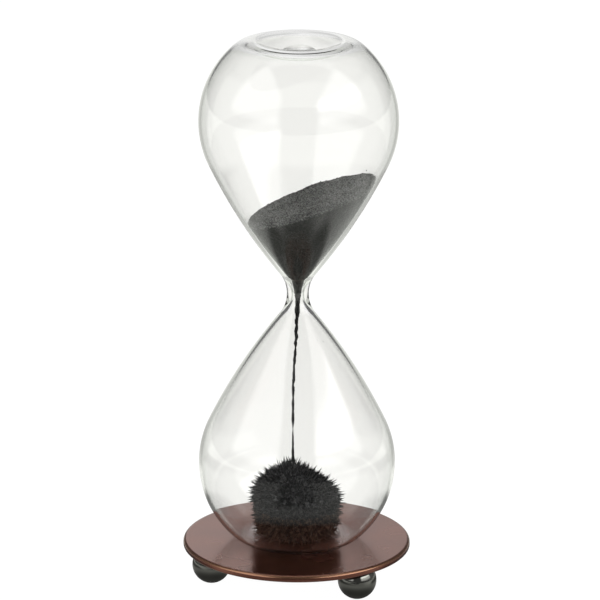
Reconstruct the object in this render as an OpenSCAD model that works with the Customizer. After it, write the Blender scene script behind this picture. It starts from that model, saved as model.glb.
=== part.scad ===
// Magnetic hourglass: a blown glass filled with iron filings stands loose on a round metal plate.
// A magnet under the plate draws the fallen filings into a spiky dome. Three balls carry the plate.

/* [Glass] */
// Height of the glass from one standing ring to the other
glass_h = 146; // [130:1:165]
// Outside radius of each bulb where it is widest
bulb_r = 28; // [25:0.5:31]
// Outside radius of the neck where it is narrowest
neck_r = 3.1; // [2.6:0.1:4]
// Radius of the outside curve at the waist
waist_r = 13.5; // [11:0.5:16]
// Radius of the long outside curve between waist and bulb
flank_r = 110; // [90:5:140]
// Thickness of the glass at the bulbs
wall = 0.8; // [0.7:0.1:1.2]
// Radius of the bore through the neck
bore_r = 1.2; // [0.9:0.1:1.4]
// Radius of the inside curve at the waist
bore_waist_r = 10.5; // [10:0.5:13]
// Radius of the long inside curve between bore and bulb
bore_flank_r = 115; // [105:5:140]
// Radius of the ring that the glass stands on
ring_r = 13.2; // [11:0.2:16]
// Width of the flat that is ground on the standing ring
ring_flat = 0.8; // [0.4:0.1:1.5]
// Rounding between bulb and standing ring
ring_round = 8; // [6:0.5:10]
// Depth of the hollow in each end
punt_depth = 3; // [2.2:0.1:4]
// Thickness of the glass over the hollow
punt_wall = 1; // [0.8:0.1:1.6]
// Rounding of the inside corner round the hollow
trough_r = 7; // [5:0.5:8]
// Radius of the filling hole in the upper end
fill_hole_r = 2; // [1.5:0.1:3]
// Radius of the clear drop that closes the filling hole
seal_r = 4.5; // [3.8:0.1:6]
// Height of the drop above the bottom of the hollow
seal_h = 1.6; // [1.1:0.1:2]

/* [Filings] */
// Height of the upper filings above the neck, on the axis
charge_h = 26; // [18:0.5:32]
// Slope of the top of the upper filings to the side, in degrees
charge_tilt = 19.5; // [0:0.5:26]
// Slope of the top of the upper filings to the back, in degrees
charge_nod = 2; // [0:0.5:6]
// Radius of the falling stream at the neck
stream_r = 0.5; // [0.35:0.05:0.6]
// Radius of the falling stream where it lands
stream_low_r = 0.34; // [0.2:0.02:0.5]
// How far the stream drifts sideways as it falls
stream_drift = 1.2; // [0:0.1:2]
// How far the stream wavers about its path
stream_waver = 0.25; // [0:0.05:0.4]
// Radius of the pile at its foot, without spikes
pile_foot_r = 10.6; // [9:0.2:10.8]
// Radius of the pile at its shoulder, without spikes
pile_r = 11.8; // [10.8:0.2:13]
// Height of the shoulder above the floor of the glass
pile_mid_h = 9.2; // [7:0.1:11]
// Height of the dome above the floor of the glass, without spikes
pile_h = 18.2; // [15:0.2:20]
// How far the top of the dome leans to the side
pile_lean = 2; // [0:0.1:3]
// Distance between neighbouring spikes
spike_pitch = 1.6; // [1.5:0.05:2.6]
// Mean length of a spike
spike_len = 2.1; // [1.2:0.1:2.8]
// Length of the middle spike, where the stream lands
crown_len = 3; // [2:0.1:4]
// Space between filings and glass
grain_gap = 0.15; // [0.1:0.05:0.3]

/* [Plate and feet] */
// Radius of the plate
plate_r = 32.5; // [29:0.5:40]
// Thickness of the plate
plate_t = 1.8; // [1.4:0.1:3]
// Rounding of the upper edge of the plate
plate_round = 0.9; // [0.4:0.1:1]
// Bevel of the lower edge of the plate
plate_bevel = 0.3; // [0.1:0.05:0.4]
// Radius of a ball foot
ball_r = 5.5; // [5:0.1:7]
// Radius of the flat with which a ball seats under the plate
ball_flat_r = 3.4; // [2.8:0.1:4]
// Distance of the balls' centres from the edge of the plate
foot_inset = 7.5; // [6:0.5:10]
// Direction of the first foot, in degrees from the right-hand side
foot_turn = -46.5; // [-180:0.5:180]
// Radius of the studs that hold the balls
stud_r = 1.5; // [1:0.1:2]
// Depth of a stud in its ball
stud_depth = 5; // [3.5:0.1:6]
// Metal left in the plate above a stud
plate_skin = 0.9; // [0.5:0.1:1.1]
// Space round a stud and under the sealing drop
fit_gap = 0.05; // [0.02:0.01:0.1]

/* [Magnet] */
// Radius of the magnet
magnet_r = 12.5; // [10:0.5:15]
// Thickness of the magnet
magnet_t = 5; // [3:0.5:6]
// Bevel of the magnet's edges
magnet_bevel = 0.4; // [0.2:0.1:0.8]
// Thickness of the glue between magnet and plate
glue_t = 0.2; // [0.1:0.05:0.4]
// Size of the glue bead round the magnet
glue_bead = 1.2; // [0.6:0.1:2]

/* [Hidden] */

$fn = 96;
feet = 3;

// Straight steps in each arc of the glass
waist_steps = 8;
flank_steps = 8;
bulb_steps = 16;
ring_steps = 6;
punt_steps = 6;
seal_steps = 6;
edge_steps = 5;

// Rows of spikes below and above the shoulder of the pile
low_rows = 7;
dome_rows = 10;
// Fullness of the dome: 1 is an ellipse, more is leaner
dome_power = 1.5;
// Spread of the rows over the dome, and the share of it that they cover below the crown
dome_ease = 0.8;
dome_end = 0.86;
// Fewest points in a row of the pile
least_row = 6;
// Direction of the spikes at the foot of the pile, in degrees
foot_lean = -20;
// Shares of the mean length between which spikes vary
spike_least = 0.6;
spike_most = 1.4;
spike_seed = 7;
// Share of a step by which the feet of the spikes stray from their rows
stray = 0.22;
stray_seed = 11;

// Rings and sides of the stream, its beads, and how far they swell
stream_rings = 30;
stream_sides = 8;
stream_beads = 9;
stream_swell = 0.25;
// Turns that the stream makes to the side and to the front as it falls
stream_sways = 4.4;
stream_nods = 3.1;

// Heights from the surface that the balls stand on
ball_seat = sqrt(ball_r * ball_r - ball_flat_r * ball_flat_r);
plate_z = ball_r + ball_seat;
glass_z = plate_z + plate_t;
half_h = glass_h / 2;
neck_z = glass_z + half_h;
foot_circle_r = plate_r - foot_inset;

// Centres of the arcs of the glass, as radius and height above the neck
ring_center = [ring_r, half_h - ring_round];
bulb_at = ring_center[1] - sqrt(pow(bulb_r - ring_round, 2) - ring_r * ring_r);
bulb_center = [0, bulb_at];
punt_edge = [ring_r - ring_flat, half_h];
punt_r = (punt_edge[0] * punt_edge[0] + punt_depth * punt_depth) / (2 * punt_depth);
punt_center = [0, half_h - punt_depth + punt_r];
floor_r = punt_r + punt_wall;
cavity_r = bulb_r - wall;
trough_in = cavity_r - trough_r;
trough_out = floor_r + trough_r;
trough_at = (trough_in * trough_in - trough_out * trough_out - bulb_at * bulb_at + pow(punt_center[1], 2))
    / (2 * (punt_center[1] - bulb_at));
trough_center = [sqrt(trough_in * trough_in - pow(trough_at - bulb_at, 2)), trough_at];

// Middle of the floor of the lower bulb, and the centre of the sphere that the floor is part of
floor_center_z = neck_z - punt_center[1];
floor_z = floor_center_z + floor_r;
pile_mid_z = floor_z + pile_mid_h;
pile_top_z = floor_z + pile_h;
crown = [-stream_drift, 0, pile_top_z + crown_len];

function mix(a, b, share) = a + (b - a) * share;
function heading(v) = atan2(v[1], v[0]);
function flipped(points) = [for (i = [len(points) - 1:-1:0]) points[i]];
function mirrored(points) = [for (p = points) [p[0], -p[1]]];
function tail(points) = [for (i = [1:len(points) - 1]) points[i]];

// Points of an arc, without its first point
function arc(center, r, from, to, steps) =
    [for (i = [1:steps]) let (a = mix(from, to, i / steps)) center + r * [cos(a), sin(a)]];

// Angle on the bulb at which the flank arc touches bulb and waist arcs without a corner
function flank_angle(bulb, flank, waist, neck) =
    let (
        spread = flank - bulb,
        reach = neck + waist,
        along = 2 * bulb_at * spread,
        across = 2 * spread * reach,
        rest = pow(flank + waist, 2) - bulb_at * bulb_at - spread * spread - reach * reach
    )
    atan2(across, along) + acos(rest / norm([along, across]));

// Outline from the neck over waist, flank and bulb, as far as an angle on the bulb
function side(bulb, flank, waist, neck, bulb_end) =
    let (
        turn = flank_angle(bulb, flank, waist, neck),
        waist_center = [neck + waist, 0],
        flank_center = bulb_center + (flank - bulb) * [-sin(turn), cos(turn)]
    )
    concat(
        [[neck, 0]],
        arc(waist_center, waist, 180, heading(flank_center - waist_center), waist_steps),
        arc(flank_center, flank, heading(waist_center - flank_center), turn - 90, flank_steps),
        arc(bulb_center, bulb, turn - 90, bulb_end, bulb_steps)
    );

// Outside of one half of the glass, from the neck to a radius in the hollow of its end
function outside(end_r) =
    let (onto_ring = heading(ring_center - bulb_center))
    concat(
        side(bulb_r, flank_r, waist_r, neck_r, onto_ring),
        arc(ring_center, ring_round, onto_ring, 90, ring_steps),
        [punt_edge],
        arc(punt_center, punt_r, heading(punt_edge - punt_center), -acos(end_r / punt_r), punt_steps)
    );

// Side of the space inside the glass, drawn in by a gap
function cavity_side(gap) =
    side(
        cavity_r - gap, bore_flank_r - gap, bore_waist_r + gap, bore_r - gap,
        heading(trough_center - bulb_center)
    );

// Inside of one half of the glass, from the neck to a radius on the floor of its end
function inside(end_r) =
    let (onto_floor = heading(trough_center - punt_center))
    concat(
        cavity_side(0),
        arc(trough_center, trough_r, heading(trough_center - bulb_center), onto_floor + 180, ring_steps),
        arc(punt_center, floor_r, onto_floor, -acos(end_r / floor_r), punt_steps)
    );

// Rows of the pile: radius, height, direction of the spikes and shift to the side, from its foot to its crown
function floor_at(r) = floor_center_z + sqrt(pow(floor_r + grain_gap, 2) - r * r);
function low_row(share) = [
    mix(pile_foot_r, pile_r, sin(90 * share)),
    mix(floor_at(pile_foot_r), pile_mid_z, share),
    mix(foot_lean, 0, share),
    0
];
function dome_row(share) =
    let (turn = 90 * pow(share, dome_ease), rise = pow(sin(turn), dome_power))
    [pile_r * pow(cos(turn), dome_power), mix(pile_mid_z, pile_top_z, rise), turn, -pile_lean * sqrt(rise)];
rows = concat(
    [for (i = [0:low_rows - 1]) low_row(i / low_rows)],
    [for (i = [0:dome_rows - 1]) dome_row(dome_end * i / (dome_rows - 1))]
);
last_row = len(rows) - 1;
counts = [for (row = rows) max(least_row, round(2 * PI * row[0] / spike_pitch))];
function first(i) = i == 0 ? 0 : first(i - 1) + counts[i - 1];
firsts = [for (i = [0:last_row]) first(i)];
// Each row is turned by half a step against the row below it
function stagger(i) = i == 0 ? 0 : stagger(i - 1) + 180 / counts[i];
strays = rands(-stray, stray, 2 * (firsts[last_row] + counts[last_row]), stray_seed);
skin = [
    for (i = [0:last_row], j = [0:counts[i] - 1])
        let (
            k = 2 * (firsts[i] + j),
            a = stagger(i) + 360 * (j + strays[k]) / counts[i],
            lift = i == 0 ? 0 : spike_pitch * strays[k + 1]
        )
        [rows[i][0] * cos(a) + rows[i][3], rows[i][0] * sin(a), rows[i][1] + lift]
];
function at(i, j) = firsts[i] + j % counts[i];

// Triangles between two rows: each step of a row takes the point that lies across from it
cells = [
    for (i = [0:last_row - 1])
        let (low = counts[i], high = counts[i + 1])
        each concat(
            [for (j = [0:low - 1]) [at(i, j), at(i, j + 1), at(i + 1, ceil((j + 1) * high / low) - 1), i]],
            [for (k = [0:high - 1]) [at(i + 1, k + 1), at(i + 1, k), at(i, floor((k + 1) * low / high)), i]]
        )
];
lengths = rands(spike_least * spike_len, spike_most * spike_len, len(cells), spike_seed);
function spike_tip(cell, length) =
    let (
        middle = (skin[cell[0]] + skin[cell[1]] + skin[cell[2]]) / 3,
        row = (rows[cell[3]] + rows[cell[3] + 1]) / 2,
        lean = row[2],
        spoke = [middle[0] - row[3], middle[1]],
        out = spoke / norm(spoke)
    )
    middle + length * [out[0] * cos(lean), out[1] * cos(lean), sin(lean)];
tips = [for (k = [0:len(cells) - 1]) spike_tip(cells[k], lengths[k])];

// Underside of the pile: one ring halfway in and a middle point, over the domed floor
inner_ring = [
    for (j = [0:counts[0] - 1])
        let (a = 360 * j / counts[0], r = pile_foot_r / 2)
        [r * cos(a), r * sin(a), floor_at(r)]
];
pile_points = concat(skin, tips, inner_ring, [crown, [0, 0, floor_at(0)]]);
tip_0 = len(skin);
inner_0 = tip_0 + len(tips);
crown_at = inner_0 + len(inner_ring);
spike_faces = [
    for (k = [0:len(cells) - 1], e = [0:2]) [cells[k][(e + 1) % 3], cells[k][e], tip_0 + k]
];
crown_faces = [
    for (j = [0:counts[last_row] - 1]) [at(last_row, j + 1), at(last_row, j), crown_at]
];
floor_faces = [
    for (j = [0:counts[0] - 1])
        let (next = (j + 1) % counts[0])
        each [
            [at(0, j), at(0, next), inner_0 + j],
            [at(0, next), inner_0 + next, inner_0 + j],
            [inner_0 + j, inner_0 + next, crown_at + 1]
        ]
];

// Stream from the neck to the crown of the pile
stream_from = neck_z - grain_gap;
stream_to = crown[2] + grain_gap;
function stream_center(share) =
    let (sway = stream_waver * sin(180 * share))
    [
        sway * sin(360 * stream_sways * share) - stream_drift * share,
        sway * cos(360 * stream_nods * share),
        mix(stream_from, stream_to, share)
    ];
function stream_width(share) =
    mix(stream_r, stream_low_r, share) * (1 + stream_swell * sin(360 * stream_beads * share));
stream_points = [
    for (i = [0:stream_rings], j = [0:stream_sides - 1])
        let (share = i / stream_rings, a = 360 * j / stream_sides)
        stream_center(share) + stream_width(share) * [cos(a), sin(a), 0]
];
function on_stream(i, j) = i * stream_sides + j % stream_sides;
stream_faces = concat(
    [[for (j = [stream_sides - 1:-1:0]) on_stream(0, j)]],
    [[for (j = [0:stream_sides - 1]) on_stream(stream_rings, j)]],
    [
        for (i = [0:stream_rings - 1], j = [0:stream_sides - 1])
            each [
                [on_stream(i, j), on_stream(i, j + 1), on_stream(i + 1, j)],
                [on_stream(i, j + 1), on_stream(i + 1, j + 1), on_stream(i + 1, j)]
            ]
    ]
);

module glass_vessel() {
    color("lightcyan", 0.35)
        translate([0, 0, neck_z])
            rotate_extrude()
                polygon(concat(
                    flipped(mirrored(outside(0))),
                    tail(outside(fill_hole_r)),
                    flipped(inside(fill_hole_r)),
                    tail(mirrored(inside(0)))
                ));
}

module fill_seal() {
    stem_r = fill_hole_r - fit_gap;
    under_r = punt_r - fit_gap;
    shoulder = [stem_r, punt_center[1] - sqrt(under_r * under_r - stem_r * stem_r)];
    rim = [seal_r, punt_center[1] - sqrt(under_r * under_r - seal_r * seal_r)];
    top = half_h - punt_depth + seal_h;
    rise = top - rim[1];
    dome_r = (seal_r * seal_r + rise * rise) / (2 * rise);
    dome_center = [0, top - dome_r];
    color("azure", 0.6)
        translate([0, 0, neck_z])
            rotate_extrude()
                polygon(concat(
                    [[0, half_h - punt_depth - punt_wall], [stem_r, half_h - punt_depth - punt_wall]],
                    [shoulder, rim],
                    arc(dome_center, dome_r, heading(rim - dome_center), 90, seal_steps)
                ));
}

module upper_filings() {
    reach = 4 * bulb_r;
    filled = cavity_side(grain_gap);
    color("dimgray")
        intersection() {
            translate([0, 0, neck_z])
                rotate_extrude()
                    polygon(concat([[0, 0]], filled, [[0, filled[len(filled) - 1][1]]]));
            translate([0, 0, neck_z + charge_h])
                rotate([-charge_nod, -charge_tilt, 0])
                    translate([-reach / 2, -reach / 2, -reach])
                        cube(reach);
        }
}

module falling_stream() {
    color("dimgray") polyhedron(stream_points, stream_faces);
}

module filings_pile() {
    color("dimgray") polyhedron(pile_points, concat(spike_faces, crown_faces, floor_faces));
}

module base_plate() {
    edge = [plate_r - plate_round, plate_t - plate_round];
    color("sienna")
        translate([0, 0, plate_z])
            difference() {
                rotate_extrude()
                    polygon(concat(
                        [[0, plate_t], [0, 0], [plate_r - plate_bevel, 0], [plate_r, plate_bevel]],
                        [[plate_r, edge[1]]],
                        arc(edge, plate_round, 0, 90, edge_steps)
                    ));
                for (i = [1:feet])
                    at_foot(i)
                        translate([0, 0, -plate_t])
                            cylinder(r = stud_r + fit_gap, h = 2 * plate_t - plate_skin);
            }
}

module at_foot(i) {
    rotate(foot_turn - 360 / feet * (i - 1))
        translate([foot_circle_r, 0, 0])
            children();
}

module ball_foot(i) {
    color("darkslategray")
        at_foot(i)
            translate([0, 0, ball_r])
                difference() {
                    sphere(r = ball_r);
                    translate([-ball_r, -ball_r, ball_seat])
                        cube(2 * ball_r);
                    translate([0, 0, ball_seat - stud_depth - fit_gap])
                        cylinder(r = stud_r + fit_gap, h = 2 * ball_r);
                }
}

module foot_stud(i) {
    color("silver")
        at_foot(i)
            translate([0, 0, plate_z - stud_depth])
                cylinder(r = stud_r, h = stud_depth + plate_t - plate_skin);
}

module magnet() {
    color("gray")
        translate([0, 0, plate_z - glue_t - magnet_t])
            rotate_extrude()
                polygon([
                    [0, 0],
                    [magnet_r - magnet_bevel, 0],
                    [magnet_r, magnet_bevel],
                    [magnet_r, magnet_t - magnet_bevel],
                    [magnet_r - magnet_bevel, magnet_t],
                    [0, magnet_t]
                ]);
}

module magnet_glue() {
    inner = magnet_r + fit_gap;
    color("wheat")
        translate([0, 0, plate_z])
            rotate_extrude()
                polygon([
                    [0, -glue_t],
                    [inner, -glue_t],
                    [inner, -glue_t - glue_bead],
                    [inner + glue_bead, 0],
                    [0, 0]
                ]);
}

glass_vessel();
fill_seal();
upper_filings();
falling_stream();
filings_pile();
base_plate();
magnet();
magnet_glue();
ball_foot(1);  // ball_foot_1
ball_foot(2);  // ball_foot_2
ball_foot(3);  // ball_foot_3
foot_stud(1);  // foot_stud_1
foot_stud(2);  // foot_stud_2
foot_stud(3);  // foot_stud_3
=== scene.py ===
# %% [markdown]
# # A magnetic hourglass
# A blown glass with iron filings in it stands loose on a round copper-coloured plate. A magnet under the
# plate draws the fallen filings up into a spiky dome, and three balls carry the plate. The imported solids
# give the places and the main sizes, and this lesson dresses them one piece at a time.

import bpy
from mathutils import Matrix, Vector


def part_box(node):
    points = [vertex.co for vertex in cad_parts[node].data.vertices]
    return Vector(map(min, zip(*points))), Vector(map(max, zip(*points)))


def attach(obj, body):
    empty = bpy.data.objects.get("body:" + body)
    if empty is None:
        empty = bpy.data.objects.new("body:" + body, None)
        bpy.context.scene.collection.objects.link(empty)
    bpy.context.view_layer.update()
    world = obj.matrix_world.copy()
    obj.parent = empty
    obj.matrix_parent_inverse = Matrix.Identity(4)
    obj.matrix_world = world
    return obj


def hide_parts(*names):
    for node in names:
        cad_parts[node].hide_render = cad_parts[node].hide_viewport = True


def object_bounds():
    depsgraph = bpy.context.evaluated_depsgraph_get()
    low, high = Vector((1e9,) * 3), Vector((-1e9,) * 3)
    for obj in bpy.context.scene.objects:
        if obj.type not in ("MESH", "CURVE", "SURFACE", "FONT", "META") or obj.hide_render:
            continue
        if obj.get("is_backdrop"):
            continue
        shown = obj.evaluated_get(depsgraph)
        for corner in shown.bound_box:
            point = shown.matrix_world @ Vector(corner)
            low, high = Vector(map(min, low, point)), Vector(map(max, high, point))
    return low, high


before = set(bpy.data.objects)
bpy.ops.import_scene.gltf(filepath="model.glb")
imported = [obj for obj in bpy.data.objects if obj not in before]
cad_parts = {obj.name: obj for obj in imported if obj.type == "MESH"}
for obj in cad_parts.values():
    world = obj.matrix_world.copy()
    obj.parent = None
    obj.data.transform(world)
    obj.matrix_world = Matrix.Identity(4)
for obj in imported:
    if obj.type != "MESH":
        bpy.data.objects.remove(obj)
cad_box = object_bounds()
print("CAD box:", [[round(x, 4) for x in corner] for corner in cad_box])

# %% [markdown]
# ## Camera
# The object was photographed with a long lens from a little above. A long lens flattens perspective, so
# the plate shows as a clean ellipse. The camera could be placed by eye, but the ratio of that ellipse's
# axes gives the elevation, so the values below are worked out. It is rolled a little, because the plate
# stands askew.

# %% Camera
import math
import random

import bmesh
import bpy
from mathutils import Matrix, Vector, noise
from mathutils.bvhtree import BVHTree
from mathutils.kdtree import KDTree

MM = 0.001
LENS = 236
CAMERA_DISTANCE = 1110 * MM
CAMERA_RISE = math.radians(16.48)
CAMERA_ROLL = math.radians(0.3)
AIM = Vector((0.62 * MM, 0, 82.65 * MM))

scene = bpy.context.scene
lens = bpy.data.cameras.new("camera")
lens.lens = LENS
lens.clip_end = 50
camera = bpy.data.objects.new("camera", lens)
camera.location = AIM + CAMERA_DISTANCE * Vector((0, -math.cos(CAMERA_RISE), math.sin(CAMERA_RISE)))
tip_up = Matrix.Rotation(math.pi / 2 - CAMERA_RISE, 3, "X")
camera.rotation_euler = (tip_up @ Matrix.Rotation(CAMERA_ROLL, 3, "Z")).to_euler()
scene.collection.objects.link(camera)
scene.camera = camera
print("camera at", [round(x, 3) for x in camera.location])

# %% [markdown]
# ## Shader maths
# Every finish here is made of nodes. Written out node by node they are long and hard to read, so one
# small class wraps a socket: sums and products of wires add Math nodes, and one method adds any other
# node.

# %% Wires
class Wire:
    """An output socket of a shader node, or only the node tree where nothing is wired yet."""

    def __init__(self, tree, socket=None):
        self.tree = tree
        self.socket = socket

    def node(self, kind, settings, sockets, out=0):
        """Adds a node: its settings first, then the values or wires of its sockets."""
        made = self.tree.nodes.new("ShaderNode" + kind)
        for name, value in settings.items():
            setattr(made, name, value)
        for key, value in sockets.items():
            if isinstance(value, Wire):
                self.tree.links.new(value.socket, made.inputs[key])
            else:
                made.inputs[key].default_value = value
        return Wire(self.tree, made.outputs[out] if made.outputs else None)

    def math(self, operation, first, second):
        return self.node("Math", {"operation": operation}, {0: first, 1: second})

    def __add__(self, other):
        return self.math("ADD", self, other)

    def __sub__(self, other):
        return self.math("SUBTRACT", self, other)

    def __rsub__(self, other):
        return self.math("SUBTRACT", other, self)

    def __mul__(self, other):
        return self.math("MULTIPLY", self, other)

    def __or__(self, other):
        return self.math("MAXIMUM", self, other)

    __radd__ = __add__
    __rmul__ = __mul__
    __ror__ = __or__

    def step(self, low, high):
        """Rises smoothly from 0 to 1 while this wire goes from low to high."""
        places = {"Value": self, "From Min": low, "From Max": high}
        return self.node("MapRange", {"interpolation_type": "SMOOTHSTEP"}, places)

    def mix(self, low, high):
        """The number low where this wire is 0, and the number high where it is 1."""
        return low + self * (high - low)

    def between(self, low, high):
        """The colour low where this wire is 0, and the colour high where it is 1."""
        return self.node("Mix", {"data_type": "RGBA"}, {0: self, 6: low, 7: high}, out=2)


def new_finish(name):
    """An empty node material, and a wire to add its nodes from."""
    finish = bpy.data.materials.new(name)
    finish.use_nodes = True
    finish.node_tree.nodes.clear()
    return finish, Wire(finish.node_tree)


def grey(level):
    return (level, level, level, 1)


print("wires: sums, products, the larger of two, steps and colours")

# %% [markdown]
# ## Grain in a finish
# Most finishes need noise of a given size. A noise texture's scale counts waves per unit, and a unit is a
# metre here, so a helper takes the size of a spot in metres and turns it round.

# %% Spots and bumps
def spots(wires, size, detail=2.0, rough=0.5, place=None):
    """Noise from 0 to 1 with spots of about that size, fixed to the piece unless a place is given."""
    place = place or wires.node("TexCoord", {}, {}, out="Object")
    values = {"Vector": place, "Scale": 1 / size, "Detail": detail, "Roughness": rough}
    return wires.node("TexNoise", {}, values, out=0)


def bump(wires, height, depth):
    """A normal that follows a height from 0 to 1, where 1 stands depth metres high."""
    return wires.node("Bump", {}, {"Strength": 1, "Distance": depth, "Height": height})


def show(wires, shader, inside=None):
    """Puts a shader on the surface, and another inside it where there is one."""
    sockets = {"Surface": shader}
    if inside:
        sockets["Volume"] = inside
    wires.node("OutputMaterial", {}, sockets)


print("spots and bumps take sizes in metres")

# %% [markdown]
# ## From a bmesh to a piece
# Each piece is drawn with bmesh operators and then made an object: it rides on a body, and the plain
# solids that it replaces are hidden. Edges sharper than a crease angle are marked, so that smooth shading
# doesn't run round them.

# %% Piece
WELD = 0.001 * MM


def piece(bm, name, finish, body, nodes=(), crease=35):
    """Makes an object of a bmesh. With no crease angle it is loose shapes, which keep their own faces."""
    if crease:
        bmesh.ops.remove_doubles(bm, verts=bm.verts, dist=WELD)
        bmesh.ops.recalc_face_normals(bm, faces=bm.faces)
        for edge in bm.edges:
            edge.smooth = edge.calc_face_angle(0) < math.radians(crease)
    for face in bm.faces:
        face.smooth = True
    mesh = bpy.data.meshes.new(name)
    bm.to_mesh(mesh)
    bm.free()
    mesh.materials.append(finish)
    made = bpy.data.objects.new(name, mesh)
    scene.collection.objects.link(made)
    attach(made, body)
    if nodes:
        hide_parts(*nodes)
    size = [round(x / MM, 2) for x in made.dimensions]
    print(name, "has", len(mesh.polygons), "faces and measures", size, "mm")
    return made


print("pieces are welded within", WELD / MM, "mm")

# %% [markdown]
# ## Turned outlines
# Glass, seal and heaps are round, so each starts as an outline turned about the axis. An outline is drawn
# with a pen, one vertex that runs on: a line extrudes it, and an arc spins it about the arc's centre.
# Points are a radius and a height, held as a flat vector.

# %% Pen and lathe
LATHE_STEPS = 160


def start(bm, point):
    return bm.verts.new((point.x, 0, point.y))


def line(bm, pen, point):
    end = bmesh.ops.extrude_vert_indiv(bm, verts=[pen])["verts"][0]
    end.co = (point.x, 0, point.y)
    return end


def arc(bm, pen, center, turn, steps):
    """Runs on round a centre, counter-clockwise if the turn is positive, and gives the new end."""
    middle = (center.x, 0, center.y)
    swept = bmesh.ops.spin(
        bm, geom=[pen], cent=middle, axis=(0, -1, 0), angle=turn, steps=steps, use_merge=False
    )
    return next(end for end in swept["geom_last"] if isinstance(end, bmesh.types.BMVert))


def lathe(bm, steps=LATHE_STEPS):
    outline = bm.verts[:] + bm.edges[:]
    bmesh.ops.spin(
        bm, geom=outline, cent=(0, 0, 0), axis=(0, 0, 1), angle=2 * math.pi, steps=steps, use_merge=True
    )


def heading(v):
    return math.atan2(v.y, v.x)


def polar(angle):
    return Vector((math.cos(angle), math.sin(angle)))


print("pen: start, line, arc; the lathe turns in", LATHE_STEPS, "steps")

# %% [markdown]
# ## Glass outline
# The glass is blown: a narrow neck, a hollow curve at the waist, a long flank and a round bulb run into
# each other without a corner, and each end is pushed in to leave a standing ring. A spline through points
# would wobble, and wobbles show at once in glass, so the outline is a chain of arcs that touch. Its waist
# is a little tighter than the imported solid's, because the glass narrows so. Heights count from the neck.

# %% Glass sizes
glass_low, glass_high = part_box("glass_vessel")
NECK_Z = (glass_low.z + glass_high.z) / 2
HALF_H = (glass_high.z - glass_low.z) / 2
BULB_R = glass_high.x
WALL = 0.8 * MM
NECK_R = 3.1 * MM
WAIST_R = 9.5 * MM
FLANK_R = 165 * MM
BORE_R = 1.2 * MM
BORE_WAIST_R = 8 * MM
BORE_FLANK_R = 165 * MM
RING_R = 13.2 * MM
RING_FLAT = 0.8 * MM
RING_ROUND = 8 * MM
RING_SOFT = 0.5 * MM
PUNT_DEPTH = 3 * MM
PUNT_WALL = 1 * MM
TROUGH_R = 7 * MM
PINPRICK_R = 0.05 * MM
CAVITY_R = BULB_R - WALL

ring_center = Vector((RING_R, HALF_H - RING_ROUND))
bulb_center = Vector((0, ring_center.y - math.sqrt((BULB_R - RING_ROUND) ** 2 - RING_R**2)))
punt_edge = Vector((RING_R - RING_FLAT, HALF_H))
PUNT_R = (punt_edge.x**2 + PUNT_DEPTH**2) / (2 * PUNT_DEPTH)
FLOOR_R = PUNT_R + PUNT_WALL
punt_center = Vector((0, HALF_H - PUNT_DEPTH + PUNT_R))

# The trough inside an end touches the bulb's inside and the domed floor
trough_in = CAVITY_R - TROUGH_R
trough_out = FLOOR_R + TROUGH_R
trough_y = (trough_in**2 - trough_out**2 - bulb_center.y**2 + punt_center.y**2) / 2
trough_y = trough_y / (punt_center.y - bulb_center.y)
trough_center = Vector((math.sqrt(trough_in**2 - (trough_y - bulb_center.y) ** 2), trough_y))
print("neck at", round(NECK_Z / MM, 2), "mm, bulb centre", round(bulb_center.y / MM, 2), "mm above it")

# %% Glass outline
WAIST_STEPS = 20
FLANK_STEPS = 20
BULB_STEPS = 40
END_STEPS = 12


def flank_turn(bulb, flank, waist, neck):
    """Angle on the bulb where the flank leaves it, so that the flank also touches the waist."""
    spread = flank - bulb
    reach = neck + waist
    along = 2 * bulb_center.y * spread
    across = 2 * spread * reach
    rest = (flank + waist) ** 2 - bulb_center.y**2 - spread**2 - reach**2
    return math.atan2(across, along) + math.acos(rest / math.hypot(along, across))


def draw_side(bm, bulb, flank, waist, neck, bulb_end):
    """Draws from the neck over waist, flank and bulb, as far as an angle on the bulb."""
    turn = flank_turn(bulb, flank, waist, neck)
    waist_center = Vector((neck + waist, 0))
    flank_center = bulb_center + (flank - bulb) * polar(turn + math.pi / 2)
    onto_flank = heading(flank_center - waist_center)
    onto_bulb = turn - math.pi / 2
    pen = start(bm, Vector((neck, 0)))
    pen = arc(bm, pen, waist_center, onto_flank - math.pi, WAIST_STEPS)
    pen = arc(bm, pen, flank_center, onto_bulb - onto_flank + math.pi, FLANK_STEPS)
    return arc(bm, pen, bulb_center, bulb_end - onto_bulb, BULB_STEPS)


def cavity_side(bm, gap):
    """The inside of the glass from the neck to the end of the bulb, drawn in by a gap."""
    bulb_end = heading(trough_center - bulb_center)
    return draw_side(bm, CAVITY_R - gap, BORE_FLANK_R - gap, BORE_WAIST_R + gap, BORE_R - gap, bulb_end)


def to_middle(radius, from_angle):
    """The turn from an angle on a circle about the punt's centre to the pinprick at the axis."""
    return -math.acos(PINPRICK_R / radius) - from_angle


leaves_bulb = math.degrees(flank_turn(BULB_R, FLANK_R, WAIST_R, NECK_R))
print("flank leaves the bulb at", round(leaves_bulb, 1), "degrees")

# %% [markdown]
# ## Glass finish
# Clear glass is a surface that bends and mirrors light. Left alone it would also throw a black shadow,
# because lamps are not traced through a bend, so rays that only ask for light pass straight through.
# Blown glass is never quite even: a slow bump of a few thousandths of a millimetre makes its reflections
# swim. A faint smoke inside darkens it where it is thick.

# %% Glass finish
GLASS_IOR = 1.47
SMOKE_TINT = (0.5, 0.5, 0.42, 1)


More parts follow.
